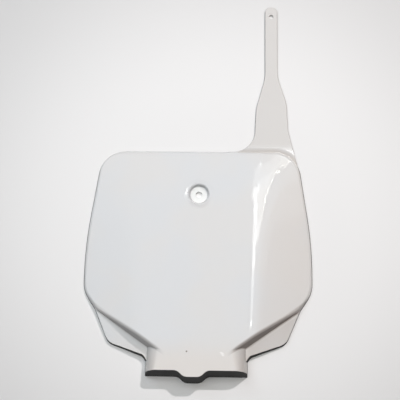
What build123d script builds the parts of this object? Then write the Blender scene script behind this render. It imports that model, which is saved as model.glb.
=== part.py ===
from build123d import *
import os
from math import radians, tan

# Racing number board, one moulded shell lying on its back.
# X runs to the right, Y runs up the face towards the strap and Z runs out of the face.
# The origin is the middle of the bolt hole, on the seat behind the dish.

# Wall of the shell and lean of its side walls, which lets it leave the mould
wall = 2.5
draft = 14.0
board_draft = 20.0
edge_round = 0.8
overlap = 3.0

# Outline of the raised board where its walls meet the rim plane, from the top edge down to the steps
board_top = 46.5
board_half_width = 115.6
widest_below_bolt = 54.3
side_round = 400.0
top_corner_draw = 14.6
top_corner_round = 28.0
low_corner_draw = 0.6
low_corner_drop = 46.0
low_corner_round = 30.0
step_start_draw = 14.0
step_start_drop = 21.0
step_drop = 48.7
step_lap = 16.5
step_round = 12.0
board_edge_round = 3.0

# Face: a flat middle that rises towards the foot, and a flank on each side that falls to the rim
# The bend between them is broad beside the bolt, and narrow from the widest place down
face_at_bolt = 7.2
face_rise = 0.0805
flank_at_side = 3.0
bend_at_bolt = 66.2
bend_narrowing = 0.056
bend_width_top = 30.0
bend_width_bolt = 32.0
bend_width_middle = 16.0
bend_width_foot = 10.0

# Ears below the steps: low plates that rise towards the foot
ear_lap = 2.0
ear_at_tip = 3.2
ear_rise_inward = 0.135
ear_rise_up = 0.09
ear_tip_draw = 14.5
ear_length = 33.5
ear_tip_round = 13.0
ear_root_gap = 3.0
ear_root_drop = 13.0
ear_root_round = 7.0

# Foot: an inverted channel that carries the face on between the ears, with a tab in its end
# Its shoulders are full where it leaves the board and tighten towards the end
foot_half_width = 50.5
foot_length = 18.9
foot_root_round = 21.0
foot_end_round = 4.5
tab_drop = 6.3
tab_x = -3.5
tab_half_width = 7.8
tab_slope = 7.0
tab_round = 8.0

# Bolt dish
bolt_hole_diameter = 6.5
dish_floor_diameter = 17.5
dish_floor = 2.6
dish_draft = 20.0
dish_rim_round = 1.6

# Strap at the top right, which passes round the handlebar
strap_thickness = 2.3
strap_x = 74.6
strap_width = 13.2
strap_length = 162.6
strap_hole_from_tip = 11.4
strap_hole_diameter = 4.8
strap_neck = 82.2
flare_half_width = 16.0
flare_left_height = 47.7
flare_right_height = 53.2
flare_round = 45.0
root_left_out = 18.2
root_left_round = 23.0
waist_right_out = 17.2
waist_right_height = 23.2
root_right_out = 2.9
root_right_drop = 25.8
strap_edge_bevel = 0.6

# Places worked out from the sizes
lean = tan(radians(draft))
board_lean = tan(radians(board_draft))
dish_lean = tan(radians(dish_draft))
widest_y = -widest_below_bolt
low_corner_x = board_half_width - low_corner_draw
low_corner_y = widest_y - low_corner_drop
step_outer_x = low_corner_x - step_start_draw
step_outer_y = low_corner_y - step_start_drop
step_inner_x = foot_half_width - step_lap
step_inner_y = step_outer_y - step_drop
ear_start_x = step_outer_x + ear_lap
ear_start_y = step_outer_y + ear_lap * step_start_drop / step_start_draw
ear_tip_x = ear_start_x - ear_tip_draw
ear_tip_y = ear_start_y - ear_length
ear_root_x = foot_half_width + ear_root_gap
ear_root_y = ear_tip_y - ear_root_drop
foot_root_y = (step_outer_y + step_inner_y) / 2
foot_end_y = ear_root_y - foot_length
strap_tip_y = board_top + strap_length

# Ends of the blocks that the forms are cut from
form_top = board_top + overlap
form_foot = foot_end_y - tab_drop - overlap
form_base = -(wall + overlap)
form_height = face_at_bolt - face_rise * form_foot + overlap


def mirrored(points):
    """The right-hand points of a closed outline, then the same points on the left in reverse order."""
    return points + [(-x, y) for x, y in reversed(points)]


def is_above_rim(edge):
    """True for an edge whose ends are both clear of the rim plane."""
    return min(corner.Z for corner in edge.vertices()) > edge_round


def is_above_face(edge):
    """True for an edge that lies higher than the face does at the bolt."""
    return min(corner.Z for corner in edge.vertices()) > face_at_bolt


def is_dish_rim(edge):
    """True for the edge where the bolt dish opens in the face."""
    box = edge.bounding_box()
    near_axis = max(box.max.X, -box.min.Y) < dish_floor_diameter
    return near_axis and box.min.Z > face_at_bolt - wall


def face_height(y):
    """Height of the flat of the face at a place along Y."""
    return face_at_bolt - face_rise * y


def crown_form(drop):
    """The block below the face, its bends and its flanks, past the board on every side, lowered by drop."""
    outer_x = board_half_width + overlap
    bends = [
        (form_top, bend_width_top),
        (0, bend_width_bolt),
        (widest_y, bend_width_middle),
        (form_foot, bend_width_foot),
    ]
    with BuildPart() as crown:
        for y, bend_width in bends:
            reach = bend_width / 2
            bend_x = bend_at_bolt + bend_narrowing * y
            bend_z = face_height(y) - drop
            fall = (face_height(y) - flank_at_side) / (board_half_width - bend_x)
            bend = [(bend_x - reach, bend_z), (bend_x, bend_z), (bend_x + reach, bend_z - fall * reach)]
            outer_z = bend_z - fall * (outer_x - bend_x)
            sides = mirrored([bend[-1], (outer_x, outer_z), (outer_x, form_base)])
            left_bend = [(-x, z) for x, z in reversed(bend)]
            with BuildSketch(Plane.XZ.offset(-y)):
                with BuildLine():
                    Bezier(*bend)
                    Polyline(*sides)
                    Bezier(*left_bend)
                    Line(left_bend[-1], bend[0])
                make_face()
        loft(ruled=True)
    return crown.part


def board_form(inset, drop):
    """The raised board between its leaning walls, drawn in by inset and lowered by drop."""
    corners = [
        (step_inner_x, step_inner_y),
        (step_outer_x, step_outer_y),
        (low_corner_x, low_corner_y),
        (board_half_width, widest_y),
        (board_half_width - top_corner_draw, board_top),
    ]
    rounds = [step_round, step_round, low_corner_round, side_round, top_corner_round]
    crown = crown_form(drop)
    with BuildPart() as board:
        with BuildSketch():
            with BuildLine():
                FilletPolyline(mirrored(corners), radius=rounds + rounds[::-1], close=True)
            make_face()
            if inset:
                offset(amount=-inset, mode=Mode.REPLACE)
        extrude(amount=form_height, taper=board_draft)
        add(crown, mode=Mode.INTERSECT)
        if not inset:
            walls = board.faces().filter_by(lambda side: abs(side.normal_at().Z) < 2 * board_lean)
            fillet(walls.edges().filter_by(is_above_rim), board_edge_round)
    return board.part


def foot_form(inset, drop):
    """The foot's channel with its tabbed end, drawn in by inset and lowered by drop."""
    half_width = foot_half_width - inset
    end_y = foot_end_y + inset
    tab_y = end_y - tab_drop
    with BuildPart() as foot:
        for y, shoulder_round in ((foot_root_y, foot_root_round), (form_foot, foot_end_round)):
            roof_z = face_height(y) - drop
            half = [(half_width, 0), (half_width - roof_z * lean, roof_z)]
            rounds = [0, shoulder_round - inset]
            with BuildSketch(Plane.XZ.offset(-y)):
                with BuildLine():
                    FilletPolyline(mirrored(half), radius=rounds + rounds[::-1], close=True)
                make_face()
        loft(ruled=True)
        with BuildSketch(mode=Mode.PRIVATE) as end_plan:
            side_x = foot_half_width + overlap
            corners = [
                (side_x, form_top),
                (-side_x, form_top),
                (-side_x, end_y),
                (tab_x - tab_half_width - tab_slope, end_y),
                (tab_x - tab_half_width, tab_y),
                (tab_x + tab_half_width, tab_y),
                (tab_x + tab_half_width + tab_slope, end_y),
                (side_x, end_y),
            ]
            rounds = [0, 0, 0, tab_round, tab_round, tab_round, tab_round, 0]
            with BuildLine():
                FilletPolyline(corners, radius=rounds, close=True)
            make_face()
        extrude(end_plan.sketch, amount=form_height, dir=(0, lean, 1), mode=Mode.INTERSECT)
        if not inset:
            end_walls = foot.faces().filter_by(lambda side: side.normal_at().Y < -lean)
            fillet(end_walls.edges().filter_by(is_above_face), edge_round)
    return foot.part


def ear_form(inset, drop):
    """The right ear below its slanting top, drawn in by inset and lowered by drop."""
    inside_x = step_inner_x - overlap
    inside_top_y = low_corner_y - 2 * overlap
    inside_low_y = ear_root_y - 3 * overlap
    corners = [
        (inside_x, inside_low_y),
        (foot_half_width - overlap, inside_low_y),
        (ear_root_x, ear_root_y),
        (ear_tip_x, ear_tip_y),
        (ear_start_x, ear_start_y),
        (ear_start_x - overlap, inside_top_y),
        (inside_x, inside_top_y),
    ]
    rounds = [0, 0, ear_root_round, ear_tip_round, 0, 0, 0]
    top = Plane(
        origin=(ear_tip_x, ear_tip_y, ear_at_tip - drop),
        z_dir=(ear_rise_inward, -ear_rise_up, 1),
    )
    with BuildPart() as ear:
        with BuildSketch():
            with BuildLine():
                FilletPolyline(corners, radius=rounds, close=True)
            make_face()
            if inset:
                offset(amount=-inset, mode=Mode.REPLACE)
        extrude(amount=form_height, taper=draft)
        split(bisect_by=top, keep=Keep.BOTTOM)
        if not inset:
            fillet(ear.faces().sort_by(Axis.Z)[-1].edges(), edge_round)
    return ear.part


os.makedirs("parts", exist_ok=True)

# Strap: flat, with a flared root that runs under the board's top edge
strap_left_x = strap_x - strap_width / 2
strap_right_x = strap_x + strap_width / 2
root_right_x = board_half_width - top_corner_draw + root_right_out
root_inside_y = board_top - root_right_drop - overlap
web_x = strap_x - root_left_out - root_left_round - overlap
with BuildPart() as strap:
    with BuildSketch():
        strap_points = [
            (strap_left_x, strap_tip_y),
            (strap_right_x, strap_tip_y),
            (strap_right_x, board_top + strap_neck),
            (strap_x + flare_half_width, board_top + flare_right_height),
            (strap_x + waist_right_out, board_top + waist_right_height),
            (root_right_x, board_top - root_right_drop),
            (web_x, root_inside_y),
            (web_x, board_top),
            (strap_x - root_left_out, board_top),
            (strap_x - flare_half_width, board_top + flare_left_height),
            (strap_left_x, board_top + strap_neck),
        ]
        tip_round = strap_width / 2 - strap_edge_bevel
        strap_rounds = [
            tip_round,
            tip_round,
            flare_round,
            flare_round,
            flare_round,
            0,
            0,
            0,
            root_left_round,
            flare_round,
            flare_round,
        ]
        with BuildLine():
            FilletPolyline(strap_points, radius=strap_rounds, close=True)
        make_face()
    extrude(amount=strap_thickness)
    chamfer(strap.faces().sort_by(Axis.Z)[-1].edges(), strap_edge_bevel)
    with BuildSketch():
        with Locations((strap_x, strap_tip_y - strap_hole_from_tip)):
            Circle(strap_hole_diameter / 2)
    extrude(amount=strap_thickness, mode=Mode.SUBTRACT)

# Space behind the face, with the wall of the bolt dish left standing in it
board_inside = board_form(wall, wall)
foot_inside = foot_form(wall, wall)
ear_inside = ear_form(wall, wall)
with BuildPart() as hollow:
    add(ear_inside)
    mirror(about=Plane.YZ)
    add(board_inside)
    add(foot_inside)
    with BuildSketch():
        Circle(dish_floor_diameter / 2 - dish_floor * dish_lean + wall)
    extrude(amount=form_height, taper=-dish_draft, mode=Mode.SUBTRACT)

# The whole board
board_outside = board_form(0, 0)
foot_outside = foot_form(0, 0)
ear_outside = ear_form(0, 0)
with BuildPart() as number_board:
    add(ear_outside)
    mirror(about=Plane.YZ)
    add(board_outside)
    add(foot_outside)
    add(strap.part)
    add(hollow.part, mode=Mode.SUBTRACT)
    with BuildSketch(Plane.XY.offset(dish_floor)):
        Circle(dish_floor_diameter / 2)
    extrude(amount=form_height, taper=-dish_draft, mode=Mode.SUBTRACT)
    dish_rim = number_board.edges().filter_by(is_dish_rim)
    fillet(dish_rim, dish_rim_round)
    with BuildSketch():
        Circle(bolt_hole_diameter / 2)
    extrude(amount=form_height, mode=Mode.SUBTRACT)
number_board.part.label = "number_board"
export_step(number_board.part, "parts/number_board.step")
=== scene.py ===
import bpy
import math
from mathutils import Matrix, Vector

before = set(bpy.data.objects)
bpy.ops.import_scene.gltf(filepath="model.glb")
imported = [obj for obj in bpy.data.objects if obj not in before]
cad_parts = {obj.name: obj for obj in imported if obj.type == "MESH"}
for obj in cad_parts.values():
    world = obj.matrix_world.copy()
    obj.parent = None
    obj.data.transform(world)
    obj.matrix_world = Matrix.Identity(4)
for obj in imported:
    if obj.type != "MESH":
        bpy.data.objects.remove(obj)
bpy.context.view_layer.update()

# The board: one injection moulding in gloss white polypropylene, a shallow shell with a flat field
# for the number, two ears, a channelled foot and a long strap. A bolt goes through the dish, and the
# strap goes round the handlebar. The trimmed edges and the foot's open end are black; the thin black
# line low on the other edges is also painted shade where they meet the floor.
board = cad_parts["number_board"]


def add_node(tree, kind, sockets, **properties):
    """A node of that kind. Each named socket takes a value, or a link to another node's output."""
    made = tree.nodes.new(kind)
    for name, value in properties.items():
        setattr(made, name, value)
    for name, value in sockets.items():
        if isinstance(value, bpy.types.NodeSocket):
            tree.links.new(value, made.inputs[name])
        else:
            made.inputs[name].default_value = value
    return made


def combine(tree, operation, first, second):
    """The sum, difference, product or higher of two values, as the operation says."""
    return add_node(tree, "ShaderNodeMath", {0: first, 1: second}, operation=operation).outputs[0]


def product(tree, *shares):
    """The shares multiplied together, which is high only where every one of them is."""
    result = shares[0]
    for share in shares[1:]:
        result = combine(tree, "MULTIPLY", result, share)
    return result


def highest(tree, *shares):
    """The highest of the shares."""
    result = shares[0]
    for share in shares[1:]:
        result = combine(tree, "MAXIMUM", result, share)
    return result


def unsigned(tree, value):
    """The value without its sign."""
    return add_node(tree, "ShaderNodeMath", {0: value}, operation="ABSOLUTE").outputs[0]


def slanted(tree, value, slope, start):
    """The start plus the slope times the value."""
    sockets = {0: value, 1: slope, 2: start}
    return add_node(tree, "ShaderNodeMath", sockets, operation="MULTIPLY_ADD").outputs[0]


def measure(tree, operation, first, second=(0, 0, 0)):
    """The length of a vector, its distance from a second one or its reach along that one."""
    sockets = {0: first, 1: second}
    return add_node(tree, "ShaderNodeVectorMath", sockets, operation=operation).outputs["Value"]


def fade(tree, value, start, end):
    """0 before start, 1 past end, with a smooth step between them; start may be the higher one."""
    limits = {"Value": value, "From Min": start, "From Max": end}
    return add_node(tree, "ShaderNodeMapRange", limits, interpolation_type="SMOOTHSTEP").outputs["Result"]


def band(tree, value, rise, fall):
    """A fade in over the first pair of limits, times a fade out over the second pair."""
    return product(tree, fade(tree, value, *rise), fade(tree, value, *fall))


def spread(tree, value, low, high):
    """A share between 0 and 1, carried to low and high in a straight line."""
    limits = {"Value": value, "To Min": low, "To Max": high}
    return add_node(tree, "ShaderNodeMapRange", limits).outputs["Result"]


def tint(tree, share, first, second):
    """The first colour where share is 0, the second where it is 1."""
    return add_node(tree, "ShaderNodeMix", {0: share, 6: first, 7: second}, data_type="RGBA").outputs[2]


def speckle(tree, place, scale, detail, stretch=(1, 1, 1), turn=0.0):
    """Smooth noise with about scale cells in a metre, stretched along the axes and turned about Z."""
    laid = add_node(tree, "ShaderNodeMapping", {"Vector": place, "Scale": stretch, "Rotation": (0, 0, turn)})
    cells = {"Vector": laid.outputs[0], "Scale": scale, "Detail": detail, "Roughness": 0.5}
    return add_node(tree, "ShaderNodeTexNoise", cells).outputs[0]


def raised(tree, height, depth, under=None):
    """The way the skin faces when a height from 0 to 1 lifts it by depth metres off the skin under it."""
    sockets = {"Height": height, "Distance": depth, "Strength": 1.0}
    if under is not None:
        sockets["Normal"] = under
    return add_node(tree, "ShaderNodeBump", sockets).outputs[0]


plastic_ior = 1.49
plastic = bpy.data.materials.new("gloss_white_plastic")
plastic.use_nodes = True
tree = plastic.node_tree
shader = tree.nodes["Principled BSDF"]
shader.inputs["IOR"].default_value = plastic_ior

# Places in metres from the bolt hole, and the way the skin faces. A pair of limits below gives the
# value where a mark starts from nothing, then the value where it is full.
coordinates = add_node(tree, "ShaderNodeTexCoord", {})
place = coordinates.outputs["Object"]
along_x, along_y, along_z = add_node(tree, "ShaderNodeSeparateXYZ", {0: place}).outputs
facing = add_node(tree, "ShaderNodeSeparateXYZ", {0: coordinates.outputs["Normal"]})
facing_x, facing_y, facing_z = facing.outputs
aside = unsigned(tree, along_x)
folded = add_node(tree, "ShaderNodeCombineXYZ", {0: aside, 1: along_y}).outputs[0]

# Colour of the mould, with faint cool and warm clouds
cool_white = (0.644, 0.658, 0.674, 1)
warm_white = (0.660, 0.658, 0.656, 1)
cloud_cells = 16.0
cloud_detail = 2.0
cloud_limits = (0.36, 0.64)
clouds = fade(tree, speckle(tree, place, cloud_cells, cloud_detail), *cloud_limits)
white = tint(tree, clouds, cool_white, warm_white)

# The foot and the strap have yellowed a little. The right-hand side gets the same warm tint as painted
# shade, since it faces away from the cool light at the left
yellowed_and_shaded = (0.664, 0.636, 0.610, 1)
yellowed_strap = (0.606, 0.592, 0.577, 1)
right_shade_limits = (0.040, 0.105)
right_shade_strength = 0.55
foot_limits = (-0.142, -0.172)
strap_limits = (0.044, 0.056)
right_shade_share = product(tree, fade(tree, along_x, *right_shade_limits), right_shade_strength)
foot_share = fade(tree, along_y, *foot_limits)
white = tint(tree, highest(tree, right_shade_share, foot_share), white, yellowed_and_shaded)
strap_share = fade(tree, along_y, *strap_limits)
white = tint(tree, strap_share, white, yellowed_strap)

# The seat of the dish is painted whiter, a painted highlight where its glossy floor mirrors the
# lamps. The way from the bolt's axis is in millimetres.
seat_highlight_white = (0.765, 0.78, 0.77, 1)
flat_millimetres = (1000.0, 1000.0, 0.0)
seat_highlight_limits = (8.7, 7.9)
seat_highlight_heights = (0.0040, 0.0030)
from_bolt = add_node(tree, "ShaderNodeVectorMath", {0: place, 1: flat_millimetres}, operation="MULTIPLY")
bolt_way = measure(tree, "LENGTH", from_bolt.outputs[0])
painted_seat_highlight = product(tree, fade(tree, bolt_way, *seat_highlight_limits), fade(tree, along_z, *seat_highlight_heights))
white = tint(tree, painted_seat_highlight, white, seat_highlight_white)

# The strap's root meets the board's wall in a soft hollow, which is painted darker as shade. The wall is
# straight up to the centre of the board's rounded corner, and goes round that centre past it.
root_shade = (0.42, 0.37, 0.32, 1)
root_shade_strength = 0.50
board_corner_x = 0.0768
board_corner_y = 0.0185
root_limits = (0.0328, 0.0272)
root_start = (0.015, 0.025)
root_heights = (0.0030, 0.0024)
root_side = (0.030, 0.045)
past_corner = highest(tree, combine(tree, "SUBTRACT", along_x, board_corner_x), 0.0)
above_corner = combine(tree, "SUBTRACT", along_y, board_corner_y)
from_corner = add_node(tree, "ShaderNodeCombineXYZ", {0: past_corner, 1: above_corner})
wall_way = measure(tree, "LENGTH", from_corner.outputs[0])
root_near = product(tree, fade(tree, wall_way, *root_limits), fade(tree, along_y, *root_start))
root_near = product(tree, root_near, fade(tree, along_z, *root_heights), fade(tree, along_x, *root_side))
white = tint(tree, product(tree, root_near, root_shade_strength), white, root_shade)

# Painted shade on the walls of the steps, a painted shadow in the corner below them and painted shade
# along their upper edge. The step runs slantwise, so it is measured square to its line, and its wall leans
# out as it falls.
step_square = (0.588, -0.809, 0.0)
step_lean = 0.364
lower_part = (-0.098, -0.110)
wall_facing = (-0.05, -0.70)
wall_heights = (0.0022, 0.0045)
corner_rise = (0.1500, 0.1525)
corner_fall = (0.1585, 0.1548)
corner_side = (0.048, 0.054)
corner_shade_strength = 0.5
upper_rise = (0.1540, 0.1567)
upper_fall = (0.1590, 0.1580)
upper_side = (0.029, 0.042)
edge_shade_strength = 0.75
low_down = fade(tree, along_y, *lower_part)
step_way = measure(tree, "DOT_PRODUCT", folded, step_square)
edge_way = slanted(tree, along_z, step_lean, step_way)
step_wall = product(tree, fade(tree, facing_y, *wall_facing), fade(tree, along_z, *wall_heights))
step_corner = product(tree, band(tree, step_way, corner_rise, corner_fall), fade(tree, aside, *corner_side))
step_upper = product(tree, band(tree, edge_way, upper_rise, upper_fall), fade(tree, aside, *upper_side))
step_corner = product(tree, step_corner, corner_shade_strength)
step_upper = product(tree, step_upper, edge_shade_strength)
painted_shade = product(tree, highest(tree, step_wall, step_corner, step_upper), low_down)

# Painted shade on the right ear and on the foot's shoulders too
ear_limits = (0.1580, 0.1610)
ear_side = (0.047, 0.053)
ear_shade_strength = 0.20
shoulder_facing = (0.15, 0.80)
shoulder_heights = (0.003, 0.007)
shoulder_start = (-0.150, -0.160)
shoulder_shade_strength = 0.30
ear_shade = product(tree, fade(tree, edge_way, *ear_limits), fade(tree, along_x, *ear_side), low_down)
painted_shade = highest(tree, painted_shade, product(tree, ear_shade, ear_shade_strength))
sideways = unsigned(tree, facing_x)
shoulder = product(tree, fade(tree, sideways, *shoulder_facing), fade(tree, along_z, *shoulder_heights))
shoulder = product(tree, shoulder, fade(tree, along_y, *shoulder_start))
painted_shade = highest(tree, painted_shade, product(tree, shoulder, shoulder_shade_strength))
# The painted shade is grey on the left and darker and browner on the right
left_shade = (0.44, 0.43, 0.425, 1)
right_shade = (0.255, 0.215, 0.196, 1)
left_to_right = (-0.03, 0.03)
shade_colour = tint(tree, fade(tree, along_x, *left_to_right), left_shade, right_shade)
white = tint(tree, painted_shade, white, shade_colour)

# A speck sits on the left half of the foot
speck_brown = (0.20, 0.17, 0.15, 1)
speck_place = (0.009, -0.160, 0.0)
speck_limits = (0.0011, 0.0005)
left_half = (0.001, -0.001)
speck_way = measure(tree, "DISTANCE", folded, speck_place)
speck = product(tree, fade(tree, speck_way, *speck_limits), fade(tree, along_x, *left_half))
white = tint(tree, speck, white, speck_brown)

# Black trim at the foot's open end, which goes a little way round the foot's corners, with a slant
trim_black = (0.004, 0.004, 0.004, 1)
down_facing = (-0.30, -0.55)
end_limits = (-0.172, -0.176)
end_slant = -0.06
end_corner_limits = (-0.1792, -0.1802)
end_corner_side = (0.0440, 0.0455)
turned_down = fade(tree, facing_y, *down_facing)
foot_end = product(tree, turned_down, fade(tree, along_y, *end_limits))
end_way = slanted(tree, along_z, end_slant, along_y)
end_corner = product(tree, fade(tree, end_way, *end_corner_limits), fade(tree, aside, *end_corner_side))
foot_end = highest(tree, foot_end, end_corner)

# Black trim along the ears' lower edges, which rise outwards in a straight line
ear_slope = -0.372
ear_drop = 0.185
ear_edge_limits = (0.007, 0.004)
ear_way = combine(tree, "ADD", along_y, slanted(tree, aside, ear_slope, ear_drop))
ear_edge = product(tree, turned_down, fade(tree, ear_way, *ear_edge_limits))

# A thin black line low along every other edge, but for the bolt's dish and the hole in the strap's tip:
# the black of the trim, and painted shade where these edges meet the floor
upright_facing = (0.80, 0.55)
line_heights = (0.0022, 0.0014)
dish_limits = (12.0, 13.0)
pin_hole = (0.0746, 0.1977, 0.0)
pin_limits = (0.0038, 0.0044)
low_wall = product(tree, fade(tree, facing_z, *upright_facing), fade(tree, along_z, *line_heights))
pin_way = measure(tree, "DISTANCE", place, pin_hole)
no_hole = product(tree, fade(tree, bolt_way, *dish_limits), fade(tree, pin_way, *pin_limits))
edge_line_and_contact_shade = product(tree, low_wall, no_hole)
trim_and_contact_shade = highest(tree, foot_end, ear_edge, edge_line_and_contact_shade)
colour = tint(tree, trim_and_contact_shade, white, trim_black)
tree.links.new(colour, shader.inputs["Base Color"])

# Gloss: handling scuffs, a duller strap and matt trim
scuff_cells = 40.0
scuff_detail = 6.0
scuff_stretch = (1, 0.35, 1)
scuff_turn = 0.6
scuff_limits = (0.52, 0.74)
clean_roughness = 0.030
scuffed_roughness = 0.095
strap_roughness = 0.30
trim_roughness = 0.75
scuff_noise = speckle(tree, place, scuff_cells, scuff_detail, scuff_stretch, scuff_turn)
scuffs = fade(tree, scuff_noise, *scuff_limits)
dull_strap = spread(tree, strap_share, 0.0, strap_roughness)
dull_trim = spread(tree, trim_and_contact_shade, 0.0, trim_roughness)
scuffed = spread(tree, scuffs, clean_roughness, scuffed_roughness)
roughness = combine(tree, "ADD", scuffed, highest(tree, dull_strap, dull_trim))
tree.links.new(roughness, shader.inputs["Roughness"])

# Shape of the skin: slow waves from cooling, a fine orange peel, a slight sink round the dish and
# the soft hollow at the strap's root
wave_cells = 38.0
wave_detail = 1.0
wave_depth = 0.00007
peel_cells = 420.0
peel_detail = 2.0
peel_depth = 0.000004
sink_limits = (9.5, 16.5)
sink_depth = 0.0004
root_depth = 0.0006
skin = raised(tree, speckle(tree, place, wave_cells, wave_detail), wave_depth)
skin = raised(tree, speckle(tree, place, peel_cells, peel_detail), peel_depth, skin)
skin = raised(tree, fade(tree, bolt_way, *sink_limits), sink_depth, skin)
skin = raised(tree, root_near, root_depth, skin)
tree.links.new(skin, shader.inputs["Normal"])
board.data.materials.clear()
board.data.materials.append(plastic)


# The floor: a wide sheet of matt paper that the board lies on, painted paler below the board and darker
# away from it, a painted pool of light. Far off, where the camera or a reflection sees it, it passes into
# the pale backdrop.
def seen_share(tree):
    """1 for what the camera or a reflection sees, 0 for the light that reaches other things."""
    path = add_node(tree, "ShaderNodeLightPath", {})
    return highest(tree, path.outputs["Is Camera Ray"], path.outputs["Is Glossy Ray"])


floor_half = 4.0
floor_corners = [
    (-floor_half, -floor_half, 0),
    (floor_half, -floor_half, 0),
    (floor_half, floor_half, 0),
    (-floor_half, floor_half, 0),
]
floor_mesh = bpy.data.meshes.new("floor")
floor_mesh.from_pydata(floor_corners, [], [(0, 1, 2, 3)])
floor = bpy.data.objects.new("floor", floor_mesh)
bpy.context.collection.objects.link(floor)
pool_lit_paper = (0.86, 0.86, 0.86, 1)
pool_falloff_paper = (0.63, 0.63, 0.63, 1)
backdrop = (0.72, 0.72, 0.72, 1)
paper_roughness = 0.9
light_pool_middle = (0.02, -0.03, 0.0)
pool_falloff_limits = (0.13, 0.38)
backdrop_limits = (0.40, 0.80)
paper = bpy.data.materials.new("floor_paper")
paper.use_nodes = True
tree = paper.node_tree
sheet = tree.nodes["Principled BSDF"]
sheet.inputs["Roughness"].default_value = paper_roughness
sheet.inputs["Specular IOR Level"].default_value = 0.0
floor_place = add_node(tree, "ShaderNodeTexCoord", {}).outputs["Object"]
middle_way = measure(tree, "DISTANCE", floor_place, light_pool_middle)
paper_colour = tint(tree, fade(tree, middle_way, *pool_falloff_limits), pool_lit_paper, pool_falloff_paper)
tree.links.new(paper_colour, sheet.inputs["Base Color"])
far_off = product(tree, seen_share(tree), fade(tree, middle_way, *backdrop_limits))
glow = add_node(tree, "ShaderNodeEmission", {"Color": backdrop})
both = add_node(tree, "ShaderNodeMixShader", {0: far_off, 1: sheet.outputs[0], 2: glow.outputs[0]})
tree.links.new(both.outputs[0], tree.nodes["Material Output"].inputs["Surface"])
floor_mesh.materials.append(paper)


# The lamps: a small hard key from the upper right, a wide soft panel overhead, two warm panels over the
# right and a cool one behind at the left. The slim strips, glows and sparks hang where the board's
# right-hand bend and its foot mirror them.
def lamp(name, place, aim, size, power, colour, turn=0.0):
    """A rectangular lamp at a place, facing its aim, turned about its own axis by some degrees."""
    light = bpy.data.lights.new(name, "AREA")
    light.shape = "RECTANGLE"
    light.size, light.size_y = size
    light.energy = power
    light.color = colour
    holder = bpy.data.objects.new(name, light)
    holder.location = place
    holder.rotation_euler = (Vector(aim) - Vector(place)).to_track_quat("-Z", "Y").to_euler()
    holder.rotation_euler.rotate_axis("Z", math.radians(turn))
    holder.visible_camera = False
    bpy.context.collection.objects.link(holder)


def hanging(name, across, along, height, size, power, colour, turn=0.0):
    """A lamp at some height that faces straight down."""
    lamp(name, (across, along, height), (across, along, 0), size, power, colour, turn)


key_distance = 2.2
key_place = Vector((0.5, 0.71, 1.0)).normalized() * key_distance
lamp("key", key_place, (0, 0, 0), (0.05, 0.05), 23.6, (1.0, 0.95, 0.95))
panel_height = 1.9
panel_along = 0.25
hanging("overhead", -0.60, panel_along, panel_height, (2.20, 1.5), 22.95, (0.97, 1.0, 1.00))
hanging("middle_panel", 0.62, panel_along, panel_height, (0.24, 1.5), 1.81, (1.0, 0.90, 0.82))
hanging("right_panel", 1.02, panel_along, panel_height, (0.56, 1.5), 2.8, (1.0, 0.78, 0.62))
lamp("back_panel", (-1.2, 1.2, 1.5), (0, 0, 0), (1.0, 1.0), 6.6, (0.87, 1.0, 1.14))
strip_height = 2.0
bend_turn = 8.7


def strip(name, across, along, width, length, brightness, turn=0.0, colour=(1, 1, 1)):
    """A slim hanging lamp. Its power is pi times its area times its brightness."""
    power = math.pi * width * length * brightness
    hanging(name, across, along, strip_height, (width, length), power, colour, turn)


strip("strip_end", 0.2835, 0.3695, 0.050, 0.020, 18.0, bend_turn)
strip("strip_low", 0.2620, 0.4400, 0.034, 0.115, 2.8, bend_turn)
strip("strip_middle", 0.2300, 0.5250, 0.060, 0.070, 5.5, bend_turn)
strip("strip_main", 0.2439, 0.6288, 0.066, 0.140, 9.0, bend_turn)
strip("strip_bulge", 0.2600, 0.6900, 0.160, 0.085, 5.0, bend_turn)
strip("strip_high", 0.2270, 0.7480, 0.054, 0.102, 10.0, bend_turn)
strip("strip_tip", 0.2160, 0.8240, 0.048, 0.054, 7.0, bend_turn)
strip("strip_glow", 0.297, 0.755, 0.115, 0.210, 3.2, 0.0, (1, 0.99, 0.90))
strip("top_glow", 0.255, 0.888, 0.180, 0.064, 1.9, 0.0, (1, 0.99, 0.92))
strip("strip_line", 0.352, 0.735, 0.006, 0.240, 24.0, -13.0, (1, 1, 0.90))
strip("spark", 0.198, 0.918, 0.040, 0.012, 9.0, -22.0)
strip("spot", 0.015, 0.266, 0.005, 0.005, 32.0)

# The room: dim walls, which give the board a little light from all sides. Where the camera or a
# reflection looks past the floor, the room shows the pale backdrop instead.
dim_walls = (0.030, 0.028, 0.026, 1)
room = bpy.data.worlds.new("room")
bpy.context.scene.world = room
room.use_nodes = True
tree = room.node_tree
dim = tree.nodes["Background"]
dim.inputs["Color"].default_value = dim_walls
shown = add_node(tree, "ShaderNodeBackground", {"Color": backdrop})
both = add_node(tree, "ShaderNodeMixShader", {0: seen_share(tree), 1: dim.outputs[0], 2: shown.outputs[0]})
tree.links.new(both.outputs[0], tree.nodes["World Output"].inputs["Surface"])

# The camera: a long lens high above the foot end, looking down at the face, with a small roll. Its
# frame is built from the way it looks, the way to its right and the way up.
eye = Vector((0.030, -0.2073, 0.870))
aim = Vector((0.0013, -0.0068, 0.008))
roll = math.radians(-0.9)
lens_millimetres = 78.1
sensor_millimetres = 36
forward = (aim - eye).normalized()
right = forward.cross(Vector((math.sin(roll), math.cos(roll), 0))).normalized()
up = right.cross(forward)
camera = bpy.data.cameras.new("camera")
camera.sensor_width = sensor_millimetres
camera.lens = lens_millimetres
camera_holder = bpy.data.objects.new("camera", camera)
camera_holder.matrix_world = Matrix.Translation(eye) @ Matrix((right, up, -forward)).transposed().to_4x4()
bpy.context.collection.objects.link(camera_holder)
bpy.context.scene.camera = camera_holder
bpy.context.scene.view_settings.view_transform = "Standard"
